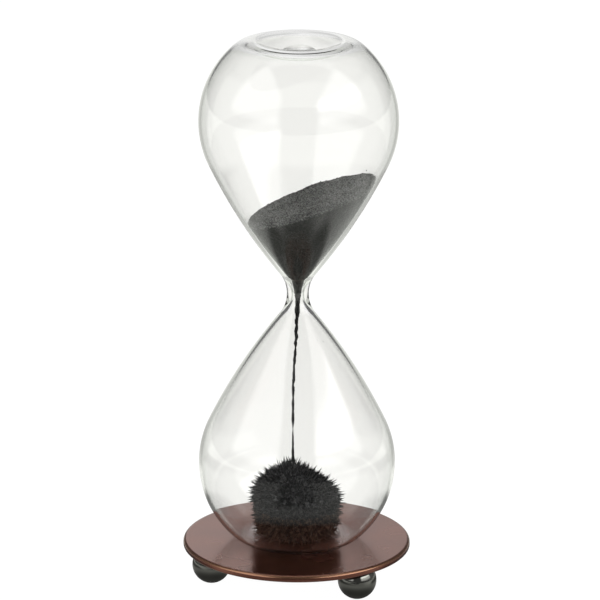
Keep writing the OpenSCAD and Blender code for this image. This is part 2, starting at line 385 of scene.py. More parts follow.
def clear_finish(name, tint, roughness, wave, wave_depth, smoke, ior):
    finish, wires = new_finish(name)
    swell = bump(wires, spots(wires, wave, detail=1), wave_depth)
    glass = wires.node("BsdfPrincipled", {}, {
        "Base Color": tint, "Roughness": roughness, "IOR": ior, "Transmission Weight": 1, "Normal": swell
    })
    for_lamps = wires.node("LightPath", {}, {}, out="Is Shadow Ray")
    for_lamps = for_lamps | wires.node("LightPath", {}, {}, out="Is Diffuse Ray")
    through = wires.node("BsdfTransparent", {}, {"Color": tint})
    inside = wires.node("VolumeAbsorption", {}, {"Color": SMOKE_TINT, "Density": smoke})
    show(wires, wires.node("MixShader", {}, {0: for_lamps, 1: glass, 2: through}), inside)
    return finish


blown_glass = clear_finish(
    "blown_glass", grey(0.99), roughness=0, wave=22 * MM, wave_depth=0.006 * MM, smoke=16, ior=GLASS_IOR
)
print("clear finish:", blown_glass.name)

# %% Glass vessel
bm = bmesh.new()
onto_ring = heading(ring_center - bulb_center)
pen = draw_side(bm, BULB_R, FLANK_R, WAIST_R, NECK_R, onto_ring)
pen = arc(bm, pen, ring_center, math.pi / 2 - onto_ring, END_STEPS)
ring_corner = line(bm, pen, punt_edge)
onto_punt = heading(punt_edge - punt_center)
outer_end = arc(bm, ring_corner, punt_center, to_middle(PUNT_R, onto_punt), END_STEPS)
bmesh.ops.bevel(
    bm, geom=[ring_corner], offset=RING_SOFT, affect="VERTICES", segments=4, profile=0.5, material=-1
)
onto_floor = heading(trough_center - punt_center)
pen = cavity_side(bm, 0)
trough_from = heading(trough_center - bulb_center)
pen = arc(bm, pen, trough_center, onto_floor + math.pi - trough_from, END_STEPS)
inner_end = arc(bm, pen, punt_center, to_middle(FLOOR_R, onto_floor), END_STEPS)

# The lower half mirrors the upper one. Above, the filling hole joins the walls; below, both run to the axis
bmesh.ops.mirror(bm, geom=bm.verts[:] + bm.edges[:], axis="Z", merge_dist=WELD)
low_ends = [v for v in bm.verts if len(v.link_edges) == 1 and v.co.z < 0]
for end in low_ends:
    line(bm, end, Vector((0, end.co.z)))
bm.edges.new((outer_end, inner_end))
lathe(bm)
bmesh.ops.translate(bm, verts=bm.verts, vec=(0, 0, NECK_Z))
glass_vessel = piece(
    bm, "blown_glass_vessel", blown_glass, "glass", ["glass_vessel"], crease=60
)

# %% [markdown]
# ## Seal
# The glass is filled through a small hole in the middle of one end, and a drop of clear resin closes it.
# Resin that wets glass can't be told from it, so only the drop's domed head is made, and of the hole only
# a pinprick is left, which keeps the inside of the glass open to the outside, so that the renderer knows
# air from glass.

# %% Seal
SEAL_R = 4.5 * MM
SEAL_H = 1.6 * MM
FIT_GAP = 0.05 * MM
SEAL_STEPS = 10
SEAL_SIDES = 64
RESIN_IOR = 1.08

resin = clear_finish(
    "clear_resin", (0.99, 0.99, 0.985, 1), roughness=0.03, wave=3 * MM, wave_depth=0.03 * MM, smoke=20,
    ior=RESIN_IOR
)
under_r = PUNT_R - FIT_GAP
rim = Vector((SEAL_R, punt_center.y - math.sqrt(under_r**2 - SEAL_R**2)))
seal_top = HALF_H - PUNT_DEPTH + SEAL_H
rise = seal_top - rim.y
dome_center = Vector((0, seal_top - (SEAL_R**2 + rise**2) / (2 * rise)))
bm = bmesh.new()
pen = start(bm, Vector((0, punt_center.y - under_r)))
pen = arc(bm, pen, punt_center, math.asin(SEAL_R / under_r), SEAL_STEPS)
arc(bm, pen, dome_center, math.pi / 2 - heading(rim - dome_center), SEAL_STEPS)
lathe(bm, SEAL_SIDES)
bmesh.ops.translate(bm, verts=bm.verts, vec=(0, 0, NECK_Z))
piece(bm, "sealing_drop", resin, "glass", ["fill_seal"])

# %% [markdown]
# ## Filings finish
# Iron filings are dark grey chips with bright broken faces, so a heap of them sparkles grain by grain.
# The finish mixes two greys by a noise of about the size of a grain, makes the light grains smoother, and
# lifts them with a bump. The same finish serves the heap, the stream and the needles. Below a level it
# takes two other tones, which are painted light and shade: the upper heap's sides under its slanted top
# are painted darker as shade, and the foot of the pile is painted browner as the light that the copper
# plate throws on it. The bristling finish of the pile, its needles and the stream is also painted much
# darker than the heap's, as shade.

# %% Filings finish
GRAIN = 0.38 * MM
GLOW_TOP_H = 5.6 * MM
TUFT_FROM_H = 7 * MM
TUFT_ANGLE = 0.07
TUFT_SHARE = 0.7
DRIFT_SIZE = 6 * MM
DRIFT_SHARE = 0.15
CHIP_EDGE = (0.42, 0.6)
LEVEL_SOFT = 0.3 * MM


def filings_finish(name, depth, tones, painted_tones_below, up, level, tuft_from=None):
    """Filings of two tones, and of two others below a level along up. Tufts spread from a point."""
    finish, wires = new_finish(name)
    grain = spots(wires, GRAIN, detail=3, rough=0.65)
    if tuft_from:
        place = wires.node("TexCoord", {}, {}, out="Object")
        spread = wires.node("VectorMath", {"operation": "SUBTRACT"}, {0: place, 1: tuft_from})
        spread = wires.node("VectorMath", {"operation": "NORMALIZE"}, {0: spread})
        tuft = spots(wires, TUFT_ANGLE, detail=1, place=spread)
        grain = grain * (1 - TUFT_SHARE) + tuft * TUFT_SHARE
    drift = spots(wires, DRIFT_SIZE, detail=2)
    chip = (grain * (1 - DRIFT_SHARE) + drift * DRIFT_SHARE).step(*CHIP_EDGE)
    place = wires.node("TexCoord", {}, {}, out="Object")
    along = wires.node("VectorMath", {"operation": "DOT_PRODUCT"}, {0: place, 1: up}, out="Value")
    # Below the level the filings take the other two tones, which are painted shade or painted light
    on_top = along.step(level - LEVEL_SOFT, level + LEVEL_SOFT)
    tone = on_top.between(chip.between(*painted_tones_below), chip.between(*tones))
    surface = wires.node("BsdfPrincipled", {}, {
        "Base Color": tone,
        "Metallic": 0.35,
        "Roughness": 0.62 - chip * 0.2,
        "Normal": bump(wires, grain, depth),
    })
    show(wires, surface)
    return finish


floor_z = NECK_Z - punt_center.y + FLOOR_R
# Painted shade: the bristling filings are coloured much darker than the heap's, standing in for the shade
# inside the pile
painted_shade_on_end = (grey(0.005), grey(0.06))
# Painted light: below a height over the floor the pile is coloured browner, as the glow that the copper
# plate throws on it
painted_copper_glow = ((0.02, 0.014, 0.011, 1), (0.11, 0.074, 0.052, 1))
bristling = filings_finish(
    "bristling_filings", depth=0.08 * MM, tones=painted_shade_on_end, painted_tones_below=painted_copper_glow, up=Vector((0, 0, 1)),
    level=floor_z + GLOW_TOP_H, tuft_from=Vector((0, 0, floor_z + TUFT_FROM_H))
)
print("filings stand on the floor of the glass at", round(floor_z / MM, 2), "mm")

# %% [markdown]
# ## Upper filings
# The filings still in the upper bulb lie against the glass and have a slanted top. The inside of the
# glass, drawn in by the thickness of a grain, is turned about the axis and cut with a slanted plane. A
# voxel remesh then gives the heap an even skin, which noise roughens, and loose grains are strewn over
# the top.

# %% Upper filings
GRAIN_GAP = 0.15 * MM
CHARGE_H = 26 * MM
CHARGE_TILT = math.radians(19.5)
CHARGE_NOD = math.radians(2)
SHADE_BELOW = 0.6 * MM
VOXEL = 0.3 * MM
HEAP_SIDES = 96

charge_mid = Vector((0, 0, NECK_Z + CHARGE_H))
nod = Vector((0, math.sin(CHARGE_NOD), math.cos(CHARGE_NOD)))
charge_up = Matrix.Rotation(-CHARGE_TILT, 3, "Y") @ nod
lying = (grey(0.01), (0.25, 0.255, 0.235, 1))
# Painted shade: below a level just under the slanted top the heap's sides are coloured darker, as the shade
# they stand in
painted_side_shade = ((0.024, 0.025, 0.022, 1), (0.056, 0.058, 0.05, 1))
shade_level = charge_mid.dot(charge_up) - SHADE_BELOW
heaped = filings_finish(
    "heaped_filings", depth=0.2 * MM, tones=lying, painted_tones_below=painted_side_shade, up=charge_up, level=shade_level
)


def above_charge(point):
    """How far a point stands above the slanted plane."""
    return (point - charge_mid).dot(charge_up)


def remeshed(bm, voxel):
    """The same closed shape with an even skin of small faces."""
    rough = bpy.data.objects.new("rough", bpy.data.meshes.new("rough"))
    bm.to_mesh(rough.data)
    scene.collection.objects.link(rough)
    skin = rough.modifiers.new("skin", "REMESH")
    skin.mode = "VOXEL"
    skin.voxel_size = voxel
    depsgraph = bpy.context.evaluated_depsgraph_get()
    bm.clear()
    bm.from_mesh(rough.evaluated_get(depsgraph).to_mesh())
    bpy.data.objects.remove(rough)


bm = bmesh.new()
tip = start(bm, Vector((0, 0)))
cavity_side(bm, GRAIN_GAP)
bore_start = min(bm.verts, key=lambda v: (abs(v.co.z), -v.co.x))
bm.edges.new((tip, bore_start))
lathe(bm, HEAP_SIDES)
bmesh.ops.translate(bm, verts=bm.verts, vec=(0, 0, NECK_Z))
bmesh.ops.remove_doubles(bm, verts=bm.verts, dist=WELD)
whole = bm.verts[:] + bm.edges[:] + bm.faces[:]
bmesh.ops.bisect_plane(bm, geom=whole, plane_co=charge_mid, plane_no=charge_up, clear_outer=True)
open_rim = [edge for edge in bm.edges if edge.is_boundary]
bmesh.ops.holes_fill(bm, edges=open_rim)
bmesh.ops.recalc_face_normals(bm, faces=bm.faces)
remeshed(bm, VOXEL)
print("heap skin:", len(bm.faces), "faces")

# %% Roughen the heap
TOP_BAND = 0.4 * MM
ROLL = 0.35 * MM
ROLL_SIZE = 5 * MM
PIT = 0.13 * MM
PIT_SIZE = 0.7 * MM

bm.normal_update()
for v in bm.verts:
    roll = noise.noise(v.co / ROLL_SIZE) * ROLL
    pit = noise.noise(v.co / PIT_SIZE) * PIT
    if above_charge(v.co) > -TOP_BAND:
        v.co += charge_up * (roll + pit)
    else:
        v.co -= v.normal * abs(pit)
upper_filings = piece(
    bm, "heaped_upper_filings", heaped, "glass", ["upper_filings"], crease=80
)

# %% Loose grains on the heap
LOOSE_GRAINS = 2600
LOOSE_SIZE = (0.16 * MM, 0.34 * MM)
GLASS_ROOM = 0.5 * MM
SQUEEZE = ((0.5, 1), (0.7, 1.2), (0.4, 0.8))
BATCH = 60
GRAIN_SEED = 31

dice = random.Random(GRAIN_SEED)
glass_skin = BVHTree.FromObject(glass_vessel, bpy.context.evaluated_depsgraph_get())
top_points = [v.co.copy() for v in upper_filings.data.vertices if above_charge(v.co) > -TOP_BAND]
top_points = [point for point in top_points if glass_skin.find_nearest(point)[3] > GLASS_ROOM]


def in_batches(shapes, make):
    """Makes many small shapes, a few at a time, because an operator visits all that is in its bmesh."""
    whole = bmesh.new()
    few = bpy.data.meshes.new("few")
    for i in range(0, len(shapes), BATCH):
        part = bmesh.new()
        for shape in shapes[i:i + BATCH]:
            make(part, *shape)
        part.to_mesh(few)
        part.free()
        whole.from_mesh(few)
    bpy.data.meshes.remove(few)
    return whole


def grain(bm, place, size):
    """One chip: a small faceted ball, squeezed and turned at random."""
    squeeze = Matrix.Diagonal((*[dice.uniform(*span) for span in SQUEEZE], 1))
    turn = Matrix.Rotation(dice.uniform(0, math.tau), 4, Vector((dice.random(), dice.random(), 0.3)))
    bmesh.ops.create_icosphere(
        bm, subdivisions=1, radius=size, matrix=Matrix.Translation(place) @ turn @ squeeze
    )


strewn = [(place, dice.uniform(*LOOSE_SIZE)) for place in dice.sample(top_points, LOOSE_GRAINS)]
bm = in_batches(strewn, grain)
piece(bm, "loose_grains", heaped, "glass", crease=0)

# %% Stray grains
# Height above the neck, the angle towards the viewer from the viewer's right, and the size
STRAYS = ((40.6 * MM, 43, 0.24 * MM), (-12 * MM, 50, 0.16 * MM), (-12.7 * MM, 38, 0.13 * MM))
STRAY_INSET = 1.5

stuck = []
for high, angle, size in STRAYS:
    out = Vector((math.cos(math.radians(angle)), -math.sin(math.radians(angle)), 0))
    wall = glass_skin.ray_cast(Vector((0, 0, NECK_Z + high)), out)[0]
    stuck.append((wall - out * STRAY_INSET * size, size))
bm = in_batches(stuck, grain)
piece(bm, "stray_grains", heaped, "glass", crease=0)

# %% [markdown]
# ## Pile on the magnet
# In the lower bulb the magnet stands the filings on end. They follow its field: upright over the middle,
# flat out at the sides, drooping at the foot, and neighbours lean together in tufts. A dark core fills
# the middle, and some thousands of four-sided needles stand on it. Their places follow rows with a little
# stray, because even rows would show.

# %% Pile core
FOOT_R = 10.6 * MM
PILE_R = 11.8 * MM
PILE_MID_H = 9.2 * MM
PILE_H = 18.2 * MM
PILE_LEAN = 2 * MM
DOME_POWER = 1.5
DOME_EASE = 0.8
FOOT_LEAN = math.radians(-20)
CORE_STEPS = 24
CORE_SIDES = 64
LUMP_SIZE = 3 * MM
LUMP = 0.3 * MM
NOISE_SEED = 3

# Vector noise starts from the clock unless it is seeded
noise.seed_set(NOISE_SEED)
mid_z = floor_z + PILE_MID_H
top_z = floor_z + PILE_H


def on_floor(r):
    return NECK_Z - punt_center.y + math.sqrt((FLOOR_R + GRAIN_GAP) ** 2 - r * r)


def pile_row(share):
    """Radius, height and lean of the pile's side: share -1 is its foot, 0 its shoulder and 1 its crown."""
    if share < 0:
        up = 1 + share
        r = FOOT_R + (PILE_R - FOOT_R) * math.sin(up * math.pi / 2)
        z = on_floor(FOOT_R) + (mid_z - on_floor(FOOT_R)) * up
        return r, z, FOOT_LEAN * -share
    turn = share**DOME_EASE * math.pi / 2
    r = PILE_R * max(0, math.cos(turn)) ** DOME_POWER
    z = mid_z + (top_z - mid_z) * math.sin(turn) ** DOME_POWER
    return r, z, turn


def pile_shift(z):
    """How far the pile stands aside at a height: its crown leans towards the stream."""
    return Vector((-PILE_LEAN * math.sqrt(max(0, z - mid_z) / (top_z - mid_z)), 0, 0))


bm = bmesh.new()
pen = start(bm, Vector((0, on_floor(0))))
for i in range(CORE_STEPS + 1):
    pen = line(bm, pen, Vector(pile_row(2 * i / CORE_STEPS - 1)[:2]))
lathe(bm, CORE_SIDES)
for v in bm.verts:
    v.co += pile_shift(v.co.z) + noise.noise_vector(v.co / LUMP_SIZE) * LUMP
piece(bm, "pile_core", bristling, "glass", ["filings_pile"], crease=80)

# %% Needles
NEEDLE_ROOT = 0.5 * MM
TUFT_SIZE = 2.6 * MM
TUFT_LEAN = 0.5
STRAY_LEAN = 0.15
SHOULDER_SHARE = 0.05
SHOULDER_WIDTH = 0.13
SHOULDER_MORE = 0.12
HAIR_CLING = 0.6
NEEDLE_TIP = 0.05
# Shares of the pile's side: the first row, the end of the rows, and a step to feel how far the next lies
FIRST_ROW = -0.98
ROWS_END = 0.985
FEELER = 0.01
# Pitch, length and radius of the coarse spikes and of the fine hair between them
COARSE = (1.15 * MM, (1.1 * MM, 2.6 * MM), (0.24 * MM, 0.42 * MM))
FINE = (0.66 * MM, (0.7 * MM, 1.5 * MM), (0.11 * MM, 0.2 * MM))
NEEDLE_SEED = 7

dice = random.Random(NEEDLE_SEED)


def needle(bm, foot, out, length, radius):
    turn = out.to_track_quat("Z", "Y").to_matrix().to_4x4()
    place = Matrix.Translation(foot + out * (length / 2)) @ turn
    tip = radius * NEEDLE_TIP
    bmesh.ops.create_cone(
        bm, cap_ends=True, segments=4, radius1=radius, radius2=tip, depth=length, matrix=place
    )


def rows_of_pile(pitch):
    """Shares of the pile's side at which rows of needles stand, one pitch apart along the side."""
    share = FIRST_ROW
    while share < ROWS_END:
        yield share
        low_r, low_z = pile_row(share)[:2]
        ahead_r, ahead_z = pile_row(share + FEELER)[:2]
        share += FEELER * pitch / math.hypot(ahead_r - low_r, ahead_z - low_z)


def needles_over_pile(pitch, lengths, radii):
    """Foot, direction, length and radius of every needle of one kind."""
    for share in rows_of_pile(pitch):
        r, z, lean = pile_row(share)
        around = max(3, round(math.tau * r / pitch))
        shoulder = SHOULDER_MORE * math.exp(-(((share - SHOULDER_SHARE) / SHOULDER_WIDTH) ** 2))
        for j in range(around):
            angle = math.tau * (j + dice.uniform(-0.5, 0.5)) / around
            high = z + dice.uniform(-0.5, 0.5) * pitch
            side = Vector((math.cos(angle), math.sin(angle), 0))
            out = side * math.cos(lean) + Vector((0, 0, math.sin(lean)))
            foot = side * r + Vector((0, 0, high)) + pile_shift(high) - out * NEEDLE_ROOT
            out += noise.noise_vector(foot / TUFT_SIZE) * TUFT_LEAN
            out += Vector([dice.gauss(0, STRAY_LEAN) for axis in range(3)])
            length = dice.uniform(*lengths) * (1 + shoulder) + NEEDLE_ROOT
            yield foot, out.normalized(), length, dice.uniform(*radii)


spikes = [*needles_over_pile(*COARSE)]
hair = [*needles_over_pile(*FINE)]
tips = KDTree(len(spikes))
for i, (foot, out, length, radius) in enumerate(spikes):
    tips.insert(foot + out * length, i)
tips.balance()
for i, (foot, out, length, radius) in enumerate(hair):
    toward = (tips.find(foot + out * length)[0] - foot).normalized()
    hair[i] = (foot, out.lerp(toward, HAIR_CLING).normalized(), length, radius)
print(len(spikes), "spikes and", len(hair), "hairs")
bm = in_batches(spikes + hair, needle)
piece(bm, "pile_needles", bristling, "glass", crease=0)

# %% [markdown]
# ## Falling stream
# The thread that falls from the neck isn't a smooth rod: the filings cling together in knots, the thread
# wavers, thins to almost nothing a little above the pile, and flares where the magnet catches it. A ring
# is extruded down the path, and each ring is set to the width and place that noise gives it. Chips along
# it fray its edge.

# %% Falling stream
STREAM_WAVER = 0.3 * MM
STREAM_RINGS = 170
STREAM_SIDES = 10
KNOT_SIZE = 1.5 * MM
KNOT_SHARE = 0.65
# Share of the way down, radius there, and drift to the side
STREAM_STATIONS = (
    (0, 0.98 * MM, 0), (0.03, 0.7 * MM, 0), (0.08, 0.58 * MM, -0.1 * MM), (0.2, 0.5 * MM, -0.3 * MM),
    (0.33, 0.42 * MM, -0.65 * MM), (0.48, 0.34 * MM, -1.1 * MM), (0.6, 0.28 * MM, -1.2 * MM),
    (0.75, 0.33 * MM, -1.2 * MM), (0.8, 0.1 * MM, -1.2 * MM), (0.86, 0.26 * MM, -1.2 * MM),
    (0.93, 0.3 * MM, -1.2 * MM), (1, 0.6 * MM, -1.1 * MM),
)
# The waver dies away before the pile, and the knots are full soon below the neck: a higher rate is sooner
WAVER_RATE = 1.4
KNOT_RATE = 12
KNOT_LINE = (0.3, 7.1)
LEAST_R = 0.08 * MM
ABOVE_CORE = 0.8 * MM

stream_from = NECK_Z - GRAIN_GAP
stream_to = top_z + ABOVE_CORE


def stream_at(share):
    """Centre and radius of the stream, from the neck at 0 to the pile at 1."""
    z = stream_from + (stream_to - stream_from) * share
    k = next(k for k in range(1, len(STREAM_STATIONS)) if share <= STREAM_STATIONS[k][0])
    low, high = STREAM_STATIONS[k - 1:k + 1]
    along = (share - low[0]) / (high[0] - low[0])
    width = low[1] + (high[1] - low[1]) * along
    drift = low[2] + (high[2] - low[2]) * along
    knot = noise.noise_vector(Vector((*KNOT_LINE, z / KNOT_SIZE)))
    waver = STREAM_WAVER * math.sin(math.pi * min(1, share * WAVER_RATE))
    place = Vector((knot.x * waver + drift, knot.y * waver, z))
    knotted = KNOT_SHARE * min(1, share * KNOT_RATE)
    return place, max(width * (1 + knotted * knot.z), LEAST_R)


bm = bmesh.new()
place, width = stream_at(0)
bmesh.ops.create_circle(
    bm, cap_ends=True, segments=STREAM_SIDES, radius=width, matrix=Matrix.Translation(place)
)
edges = [edge for edge in bm.edges if edge.is_boundary]
for i in range(1, STREAM_RINGS + 1):
    place, width = stream_at(i / STREAM_RINGS)
    grown = bmesh.ops.extrude_edge_only(bm, edges=edges)["geom"]
    ring = [v for v in grown if isinstance(v, bmesh.types.BMVert)]
    edges = [edge for edge in grown if isinstance(edge, bmesh.types.BMEdge) and edge.is_boundary]
    middle = sum((v.co for v in ring), Vector()) / len(ring)
    for v in ring:
        spoke = (v.co - middle).normalized()
        v.co = place + spoke * width
bmesh.ops.holes_fill(bm, edges=edges)
piece(bm, "falling_thread", bristling, "glass", ["falling_stream"], crease=80)

# %% Chips along the stream
STREAM_CHIPS = 420
CHIP_SIZE = (0.1 * MM, 0.22 * MM)
CHIP_OUT = 0.9
CHIP_SEED = 19

dice = random.Random(CHIP_SEED)
frayed = []
for i in range(STREAM_CHIPS):
    place, width = stream_at(dice.random())
    angle = dice.uniform(0, math.tau)
    edge = place + Vector((math.cos(angle), math.sin(angle), 0)) * width * CHIP_OUT
    frayed.append((edge, dice.uniform(*CHIP_SIZE)))
bm = in_batches(frayed, grain)
piece(bm, "thread_chips", bristling, "glass", crease=0)

# %% [markdown]
# ## Plate
# The plate is sheet metal with a copper-brown lacquer, its upper edge rolled over and rubbed bright. A
# filled circle is extruded to its thickness and its rims are bevelled. The faces are inset first, so that
# the flats stay flat where smooth shading meets the round edge.

# %% Plate finish
plate_low, plate_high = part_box("base_plate")
PLATE_R = plate_high.x
PLATE_T = plate_high.z - plate_low.z
CLOUD_SIZE = 14 * MM
FLECK_SIZE = 0.9 * MM
FLECK_SHARE = 0.12
PATINA_EDGE = (0.3, 0.7)
PATINA = ((0.17, 0.058, 0.036, 1), (0.24, 0.088, 0.056, 1))
RUBBED = (0.3, 0.15, 0.085, 1)
SWELL_SIZE = 10 * MM
SWELL = 0.015 * MM
# How far in from the rim, and how far below the top, the lacquer is rubbed through
WORN_IN = (0.5 * MM, 0.2 * MM)
WORN_DOWN = (0.75 * MM, 0.45 * MM)
WORN_RAGGED = 0.2 * MM

lacquer, wires = new_finish("copper_lacquer")
place = wires.node("TexCoord", {}, {}, out="Object")
flat = wires.node("VectorMath", {"operation": "MULTIPLY"}, {0: place, 1: (1, 1, 0)})
from_axis = wires.node("VectorMath", {"operation": "LENGTH"}, {0: flat}, out="Value")
cloud = spots(wires, CLOUD_SIZE, detail=3)
fleck = spots(wires, FLECK_SIZE, detail=2)
height = wires.node("SeparateXYZ", {}, {0: place}, out="Z")
on_edge = height.step(plate_high.z - WORN_DOWN[0], plate_high.z - WORN_DOWN[1])
worn = (from_axis + cloud * WORN_RAGGED).step(PLATE_R - WORN_IN[0], PLATE_R - WORN_IN[1]) * on_edge
patina = (cloud * (1 - FLECK_SHARE) + fleck * FLECK_SHARE).step(*PATINA_EDGE)
show(wires, wires.node("BsdfPrincipled", {}, {
    "Base Color": worn.between(patina.between(*PATINA), RUBBED),
    "Metallic": 0.88,
    "Roughness": 0.22 + cloud.step(*PATINA_EDGE) * 0.06,
    "Coat Weight": 0.4,
    "Coat Roughness": 0.08,
    "Normal": bump(wires, spots(wires, SWELL_SIZE, detail=0), SWELL),
}))
print("plate:", round(2 * PLATE_R / MM, 1), "mm across and", round(PLATE_T / MM, 2), "mm thick")

# %% Plate
PLATE_ROUND = 0.9 * MM
PLATE_BEVEL = 0.3 * MM
FLAT_INSET = 0.3 * MM

bm = bmesh.new()
bmesh.ops.create_circle(
    bm, cap_ends=True, segments=LATHE_STEPS, radius=PLATE_R, matrix=Matrix.Translation((0, 0, plate_low.z))
)
under = bm.faces[:]
grown = bmesh.ops.extrude_face_region(bm, geom=under, use_keep_orig=True)["geom"]
top = [face for face in grown if isinstance(face, bmesh.types.BMFace)]
bmesh.ops.translate(bm, verts=top[0].verts, vec=(0, 0, PLATE_T))
for face, cut, steps in ((top[0], PLATE_ROUND, 8), (under[0], PLATE_BEVEL, 3)):
    bmesh.ops.bevel(
        bm, geom=face.edges[:], offset=cut, affect="EDGES", segments=steps, profile=0.5, material=-1
    )
flats = [face for face in bm.faces if len(face.verts) == LATHE_STEPS]
bmesh.ops.inset_individual(bm, faces=flats, thickness=FLAT_INSET)
piece(bm, "copper_plate", lacquer, "base", ["base_plate"])

# %% [markdown]
# ## Ball feet
# The feet are steel balls plated in black nickel, with a small flat that seats under the plate. A fine
# sphere is cut by a plane and the cut is filled. Black nickel is a dark mirror, so a little grey, full
# metal and low roughness do it, with faint smears from handling.

# %% Ball finish
NICKEL = ((0.17, 0.172, 0.155, 1), (0.25, 0.252, 0.23, 1))
SMEAR_SIZE = 4 * MM
SMEAR_EDGE = (0.45, 0.75)
NICK_SIZE = 0.5 * MM
NICK = 0.004 * MM

nickel, wires = new_finish("black_nickel")
smear = spots(wires, SMEAR_SIZE, detail=3)
show(wires, wires.node("BsdfPrincipled", {}, {
    "Base Color": smear.between(*NICKEL),
    "Metallic": 1,
    "Roughness": 0.06 + smear.step(*SMEAR_EDGE) * 0.1,
    "Normal": bump(wires, spots(wires, NICK_SIZE, detail=1), NICK),
}))
print("ball finish:", nickel.name)

# %% Ball feet
BALL_SIDES = 72
BALL_ROWS = 48

for i in (1, 2, 3):
    node = f"ball_foot_{i}"
    low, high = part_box(node)
    radius = (high.x - low.x) / 2
    middle = Vector(((low.x + high.x) / 2, (low.y + high.y) / 2, low.z + radius))
    bm = bmesh.new()
    at_middle = Matrix.Translation(middle)
    bmesh.ops.create_uvsphere(
        bm, u_segments=BALL_SIDES, v_segments=BALL_ROWS, radius=radius, matrix=at_middle
    )
    whole = bm.verts[:] + bm.edges[:] + bm.faces[:]
    bmesh.ops.bisect_plane(
        bm, geom=whole, plane_co=(0, 0, high.z), plane_no=(0, 0, 1), clear_outer=True
    )
    bmesh.ops.holes_fill(bm, edges=[edge for edge in bm.edges if edge.is_boundary])
    piece(bm, f"nickel_ball_{i}", nickel, "base", [node])

# %% [markdown]
# ## Hidden pieces
# The magnet, its glue and the studs keep their solids, which are already right, and only get a finish: a
# sintered magnet is grey and grainy, set glue is amber and glossy, and a turned stud is plain bright
# steel.

# %% Magnet, glue and studs
def plain_finish(name, dark, light, size, roughness, metallic, depth):
    finish, wires = new_finish(name)
    spot = spots(wires, size, detail=3)
    show(wires, wires.node("BsdfPrincipled", {}, {
        "Base Color": spot.between(dark, light),
        "Metallic": metallic,
        "Roughness": roughness + spot * 0.12,
        "Normal": bump(wires, spot, depth),
    }))
    return finish


AMBER = ((0.42, 0.3, 0.12, 1), (0.6, 0.47, 0.22, 1))

ferrite = plain_finish(
    "sintered_ferrite", grey(0.09), grey(0.2), size=0.4 * MM, roughness=0.5, metallic=0.3, depth=0.03 * MM
)
glue = plain_finish("amber_glue", *AMBER, size=2 * MM, roughness=0.12, metallic=0, depth=0.05 * MM)
steel = plain_finish(
    "turned_steel", grey(0.4), grey(0.6), size=0.3 * MM, roughness=0.25, metallic=1, depth=0.01 * MM
)
finishes = {"magnet": (ferrite, "magnet_ferrite"), "magnet_glue": (glue, "clear_glue")}
for i in (1, 2, 3):
    finishes[f"foot_stud_{i}"] = (steel, "stud_steel")
for node, (finish, slot) in finishes.items():
    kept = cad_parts[node]
    kept.data.materials.clear()
    kept.data.materials.append(finish)
print("finished in place:", ", ".join(finishes))

# %% [markdown]
# ## Floor and backdrop
# The object stands on a white sheet, and the eye sees plain white paper with a faint shadow. Glass and
# polished metal only show their form where they mirror something darker, and an even white sheet gives
# them nothing to mirror. Dark cards around the object would do it, but they would also be seen through
# the clear glass, so the sheet answers each kind of ray by itself: one that only bent sees white behind
# the object, one that was mirrored once sees bright stretches with dark gaps between them, and one that
# was mirrored again and again sees an even grey. Where the gaps are goes by compass direction and
# distance.

# %% Rays and compass
# Compass directions in radians: 0 is straight behind the object, and pi is towards the camera
BACK_FROM = math.radians(4)
BACK_END = math.radians(50)
SOFT = math.radians(7)
LOST_OUTSIDE = 0.15


def ray(wires, kind):
    """What the renderer knows about the ray that arrives here."""
    return wires.node("LightPath", {}, {}, out=kind)


def bearings(wires, vector):
    """How far a vector leads to the right, to either side and to the back, and its compass direction."""
    across = wires.node("SeparateXYZ", {}, {0: vector}, out="X")
    back = wires.node("SeparateXYZ", {}, {0: vector}, out="Y")
    aside = wires.node("Math", {"operation": "ABSOLUTE"}, {0: across})
    return across, aside, back, wires.math("ARCTAN2", aside, back)


def by_compass(compass, middle, sides, to):
    """A level that falls from straight behind to either side, and ends some way round."""
    level = compass.step(BACK_FROM, to).mix(middle, sides)
    return level * (1 - compass.step(BACK_END - SOFT, BACK_END + SOFT))


def by_ray(wires, plain, in_mirror, lost_inside):
    """The tone for a ray that only bent, for one mirrored once, and for one mirrored more often."""
    mirrored = ray(wires, "Glossy Depth").step(0, 1)
    lost = ray(wires, "Glossy Depth").step(1, 2)
    in_glass = ray(wires, "Transmission Depth").step(0, 1)
    return lost.mix(mirrored.mix(plain, in_mirror), in_glass.mix(LOST_OUTSIDE, lost_inside))


print("the back ends at", round(math.degrees(BACK_END)), "degrees on the compass")

# %% Sheet tones
PAPER_WHITE = 1.1
TABLE_TONE = 0.08
SHEET_ASIDE = 0.55
WING_TONE = 0.36
WING_ASIDE = 0.34
NEAR_TONE = 0.1
NEAR_GLOW = 0.28
# Compass directions
SHEET_TO = math.radians(26)
SIDE = math.radians(90)
WING_FROM = math.radians(115)
WING_TO = math.radians(150)
AISLE_FROM = math.radians(156)
AISLE_TO = math.radians(168)
# Distances from the middle over which one tone passes into another
FRONT_FROM = (0.13, 0.2)
AISLE_OPENS = (0.055, 0.08)
WINGS_END = (0.2, 0.36)
FAR_FROM = (0.14, 0.22)
CLOSE_END = (0.1, 0.13)
NEAR_END = (0.036, 0.054)
NEAR_WIDER = 0.025
# Lengths of rays that come from the balls, and the height above which a ray came from the upper bulb
GLOW_FROM = (0.003, 0.012)
GLOW_TO = (0.014, 0.026)
HIGH = 0.096
HIGH_SOFT = 0.15
print("paper shows", PAPER_WHITE, "and the table", TABLE_TONE)

